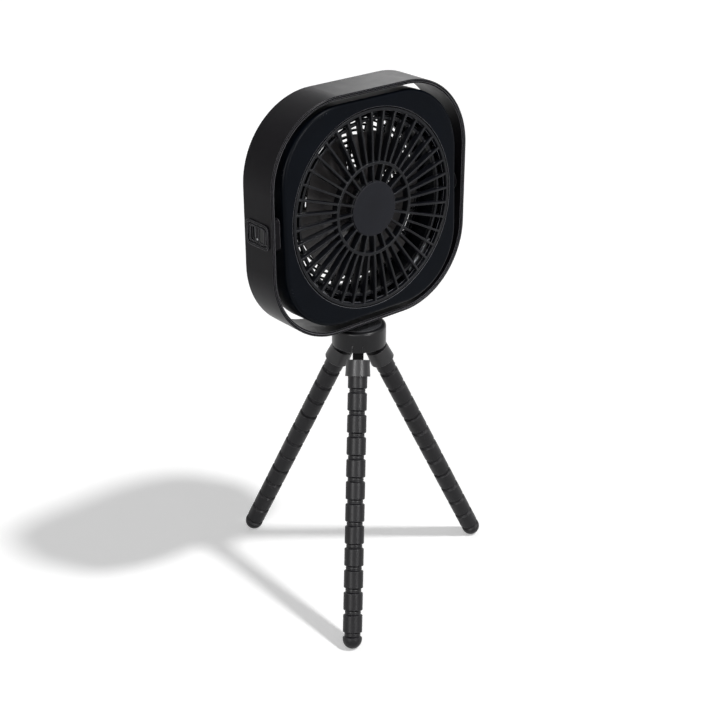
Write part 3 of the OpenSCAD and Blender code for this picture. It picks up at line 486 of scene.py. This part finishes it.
# %% Run a tree, and keep the plain mesh
def with_nodes(name, mesh, tree, values):
    """Runs a Geometry Nodes tree on a mesh and gives back the plain result."""
    obj = bpy.data.objects.new(name, mesh)
    bpy.context.collection.objects.link(obj)
    step = obj.modifiers.new("nodes", "NODES")
    step.node_group = tree
    for item in tree.interface.items_tree:
        if item.in_out == "INPUT" and item.name in values:
            step[item.identifier] = values[item.name]
    seen = obj.evaluated_get(bpy.context.evaluated_depsgraph_get())
    result = bpy.data.meshes.new_from_object(seen)
    obj.modifiers.remove(step)
    bpy.data.objects.remove(obj)
    return result


print("tree runner ready")

# %% A helper that joins meshes into one piece on a body
SMOOTH_BELOW = 35


def piece(name, meshes, place, body, paint, replaced):
    bm = bmesh.new()
    for mesh in meshes:
        bm.from_mesh(mesh)
    mesh = bpy.data.meshes.new(name)
    bm.to_mesh(mesh)
    bm.free()
    mesh.transform(place)
    mesh.materials.clear()
    mesh.materials.append(paints[paint])
    mesh.polygons.foreach_set("material_index", [0] * len(mesh.polygons))
    mesh.polygons.foreach_set("use_smooth", [True] * len(mesh.polygons))
    mesh.set_sharp_from_angle(angle=math.radians(SMOOTH_BELOW))
    obj = bpy.data.objects.new(name, mesh)
    bpy.context.collection.objects.link(obj)
    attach(obj, body)
    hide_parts(*replaced)
    print(name, len(mesh.polygons), "faces on", body)
    return obj


print("edges below", SMOOTH_BELOW, "degrees are shaded smooth")

# %% [markdown]
# The front grille on the real fan is one moulding: forty thin ribs, every second one going on to the
# centre, three rings, and a lower ring set back behind the ribs. The ribs and rings are drawn as separate
# closed forms that cross each other, which gives the same look as the moulding with far fewer faces.
# Heights are measured forwards from the pivot, so the grille's face is the highest of them.

# %% Front grille
GRILLE = 0.0156
RIBS, RIB_HALF, RIB_EDGE, RIB_DEPTH, RIB_DROP = 40, 0.0007, 0.00028, 0.0056, 0.0003
OUTER_RIB_FROM, OUTER_RIB_TO = 0.0302, 0.063
INNER_RIB_FROM, INNER_RIB_TO = 0.0172, 0.0295
RIM_INNER, RIM_OUTER, RIM_DEPTH = 0.0629, 0.0648, 0.0026
MIDDLE_INNER, MIDDLE_OUTER = 0.0289, 0.0309
SET_BACK_INNER, SET_BACK_OUTER, SET_BACK_DROP = 0.0568, 0.0585, 0.003
SEAT_INNER, SEAT_OUTER, CAP_DEPTH = 0.005, 0.0181, 0.0016
PROUD_EDGE, DEEP_EDGE = 0.0004, 0.00025
rib_low, rib_high = GRILLE - RIB_DEPTH, GRILLE - RIB_DROP
cap_low = GRILLE - CAP_DEPTH

outer_rib = soft_box("outer_rib", (OUTER_RIB_FROM, -RIB_HALF, rib_low),
                     (OUTER_RIB_TO, RIB_HALF, rib_high), RIB_EDGE)
inner_rib = soft_box("inner_rib", (INNER_RIB_FROM, -RIB_HALF, rib_low),
                     (INNER_RIB_TO, RIB_HALF, rib_high), RIB_EDGE)
grille_parts = [
    with_nodes("ribs", outer_rib, repeat_around, {"Count": RIBS, "Phase": 0.0}),
    with_nodes("inner_ribs", inner_rib, repeat_around, {"Count": RIBS // 2, "Phase": 0.0}),
    turned("rim", ring_outline(RIM_INNER, RIM_OUTER, GRILLE - RIM_DEPTH, GRILLE, PROUD_EDGE)),
    turned("middle", ring_outline(MIDDLE_INNER, MIDDLE_OUTER, rib_low, GRILLE, PROUD_EDGE), 96),
    turned("set_back", ring_outline(SET_BACK_INNER, SET_BACK_OUTER, rib_low,
                                    GRILLE - SET_BACK_DROP, DEEP_EDGE)),
    turned("seat", ring_outline(SEAT_INNER, SEAT_OUTER, rib_low, cap_low, DEEP_EDGE), 72),
]
piece("front_grille_moulding", grille_parts, in_head, "head", "grille_plastic", ["front_grille"])

# %% [markdown]
# The cap is a separate disc that clips into the seat with a short spigot, so it has its own finish.

# %% Centre cap
CAP_RADIUS, CAP_EDGE = 0.0178, 0.0006
SPIGOT_RADIUS, SPIGOT_DEPTH, SPIGOT_IN_CAP, SPIGOT_EDGE = 0.00495, 0.0036, 0.0002, 0.0002

spigot = disc_outline(SPIGOT_RADIUS, GRILLE - SPIGOT_DEPTH, cap_low + SPIGOT_IN_CAP, SPIGOT_EDGE)
cap_parts = [turned("cap", disc_outline(CAP_RADIUS, cap_low, GRILLE, CAP_EDGE), 96),
             turned("spigot", spigot, 32)]
piece("centre_cap_disc", cap_parts, in_head, "head", "cap_plastic", ["centre_cap"])

# %% [markdown]
# The four screws are sunk in the back of the head, and only their heads show. Each head is a low disc with
# a cross recess, cut once with an exact boolean and then placed four times.

# %% Screw heads with a cross recess
ARM_LONG, ARM_THIN, RECESS_DEEP = 0.62, 0.13, 0.6
SCREW_ROUNDING, SHANK_ROUNDING, SHANK_TOP = 0.16, 0.2, 0.9


def cross_head(name, radius, height):
    """A screw head whose top face is z = 0, with the recess cut from above."""
    head = turned(name, disc_outline(radius, -height, 0, radius * SCREW_ROUNDING), 32)
    bm = bmesh.new()
    arm, half = radius * ARM_LONG, radius * ARM_THIN
    for size in ((arm, half), (half, arm)):
        made = bmesh.ops.create_cube(bm, size=2)["verts"]
        for v in made:
            v.co = Vector((v.co.x * size[0], v.co.y * size[1], v.co.z * height * RECESS_DEEP))
    cutter = bpy.data.objects.new("cutter", new_mesh("cutter", bm))
    body = bpy.data.objects.new("head", head)
    for obj in (cutter, body):
        bpy.context.collection.objects.link(obj)
    cut = body.modifiers.new("recess", "BOOLEAN")
    cut.operation, cut.solver, cut.object = "DIFFERENCE", "EXACT", cutter
    cut.use_self = True
    seen = body.evaluated_get(bpy.context.evaluated_depsgraph_get())
    result = bpy.data.meshes.new_from_object(seen)
    bpy.data.objects.remove(cutter)
    bpy.data.objects.remove(body)
    return result


def screw(radius, height, shank_r, length):
    """A head looking towards +Z, and the shank behind it."""
    shank = disc_outline(shank_r, -length, -height * SHANK_TOP, shank_r * SHANK_ROUNDING)
    return [cross_head("screw_head", radius, height), turned("shank", shank, 24)]


def turned_copy(mesh, place):
    copy = mesh.copy()
    copy.transform(place)
    return copy


print("screw helpers ready")

# %% Shell screws
SCREW_X, SCREW_Y, SCREW_Z = 0.014, 0.0672, -0.0073
HEAD_RADIUS, HEAD_HEIGHT, SHANK_RADIUS, SHANK_LENGTH = 0.0021, 0.0012, 0.001, 0.0151

facing_back = Matrix.Rotation(math.pi, 4, "X")
shell_parts = [turned_copy(mesh, Matrix.Translation((x, y, SCREW_Z)) @ facing_back)
               for y in (SCREW_Y, -SCREW_Y) for x in (SCREW_X, -SCREW_X)
               for mesh in screw(HEAD_RADIUS, HEAD_HEIGHT, SHANK_RADIUS, SHANK_LENGTH)]
piece("shell_screws_crossed", shell_parts, in_head, "head", "dark_steel", ["shell_screws"])

# %% [markdown]
# The pad on the tripod head is soft rubber with rows of small round studs that grip a camera's base. The
# studs are one low dome repeated on a grid, and only the points inside the pad's edge are kept.

# %% A tree that studs a disc
def stud_tree():
    tree = bpy.data.node_groups.new("studs_on_disc", "GeometryNodeTree")
    face = tree.interface
    face.new_socket("Geometry", in_out="INPUT", socket_type="NodeSocketGeometry")
    for name in ("Span", "Inner", "Outer"):
        face.new_socket(name, in_out="INPUT", socket_type="NodeSocketFloat")
    face.new_socket("Rows", in_out="INPUT", socket_type="NodeSocketInt")
    face.new_socket("Material", in_out="INPUT", socket_type="NodeSocketMaterial")
    face.new_socket("Geometry", in_out="OUTPUT", socket_type="NodeSocketGeometry")
    start, end = tree.nodes.new("NodeGroupInput"), tree.nodes.new("NodeGroupOutput")
    grid = tree.nodes.new("GeometryNodeMeshGrid")
    place = tree.nodes.new("GeometryNodeInputPosition")
    far = tree.nodes.new("ShaderNodeVectorMath")
    far.operation = "LENGTH"
    inside = tree.nodes.new("ShaderNodeMath")
    inside.operation = "LESS_THAN"
    outside = tree.nodes.new("ShaderNodeMath")
    outside.operation = "GREATER_THAN"
    both = tree.nodes.new("ShaderNodeMath")
    both.operation = "MULTIPLY"
    copies = tree.nodes.new("GeometryNodeInstanceOnPoints")
    real = tree.nodes.new("GeometryNodeRealizeInstances")
    paint = tree.nodes.new("GeometryNodeSetMaterial")
    for a, b in ((start.outputs["Span"], grid.inputs["Size X"]),
                 (start.outputs["Span"], grid.inputs["Size Y"]),
                 (start.outputs["Rows"], grid.inputs["Vertices X"]),
                 (start.outputs["Rows"], grid.inputs["Vertices Y"]),
                 (place.outputs[0], far.inputs[0]),
                 (far.outputs["Value"], inside.inputs[0]), (start.outputs["Outer"], inside.inputs[1]),
                 (far.outputs["Value"], outside.inputs[0]), (start.outputs["Inner"], outside.inputs[1]),
                 (inside.outputs[0], both.inputs[0]), (outside.outputs[0], both.inputs[1]),
                 (both.outputs[0], copies.inputs["Selection"]),
                 (grid.outputs["Mesh"], copies.inputs["Points"]),
                 (start.outputs["Geometry"], copies.inputs["Instance"]),
                 (copies.outputs[0], real.inputs[0]), (real.outputs[0], paint.inputs["Geometry"]),
                 (start.outputs["Material"], paint.inputs["Material"]),
                 (paint.outputs[0], end.inputs[0])):
        link_value(tree, a, b)
    return tree


studs_on_disc = stud_tree()
print("tree inputs:", [i.name for i in studs_on_disc.interface.items_tree if i.in_out == "INPUT"])

# %% Studded rubber pad
PAD_RADIUS, PAD_HOLE, PAD_EDGE = 0.0153, 0.00335, 0.0003
STUD, STUD_RADIUS, STUD_ROOT = 0.00035, 0.00042, 0.0002
STUD_ROWS, STUD_SPAN, STUDS_FROM, BARE_EDGE = 24, 0.0288, 0.0072, 0.0012
ROW_TURN = math.radians(-12.9)
pad_face = pad_high.z - STUD

DOME_SHAPE = ((0.00018, 0.92), (0.00034, 0.62))
dome = turned("dome", [(0, -STUD_ROOT), (0, STUD), *((r, STUD * h) for r, h in DOME_SHAPE),
                       (STUD_RADIUS, 0), (STUD_RADIUS, -STUD_ROOT)], 8)
studs = with_nodes("studs", dome, studs_on_disc, {
    "Span": STUD_SPAN, "Rows": STUD_ROWS, "Inner": STUDS_FROM, "Outer": PAD_RADIUS - BARE_EDGE})
studs.transform(Matrix.Rotation(ROW_TURN, 4, "Z") @ Matrix.Translation((0, 0, pad_face)))
pad_disc = turned("pad_disc", ring_outline(PAD_HOLE, PAD_RADIUS, pad_low.z, pad_face, PAD_EDGE), 96)
on_axis = Matrix.Translation((AXIS.x, AXIS.y, 0))
piece("studded_pad", [studs, pad_disc], on_axis, "tripod_head", "pad_rubber", ["hub_pad"])
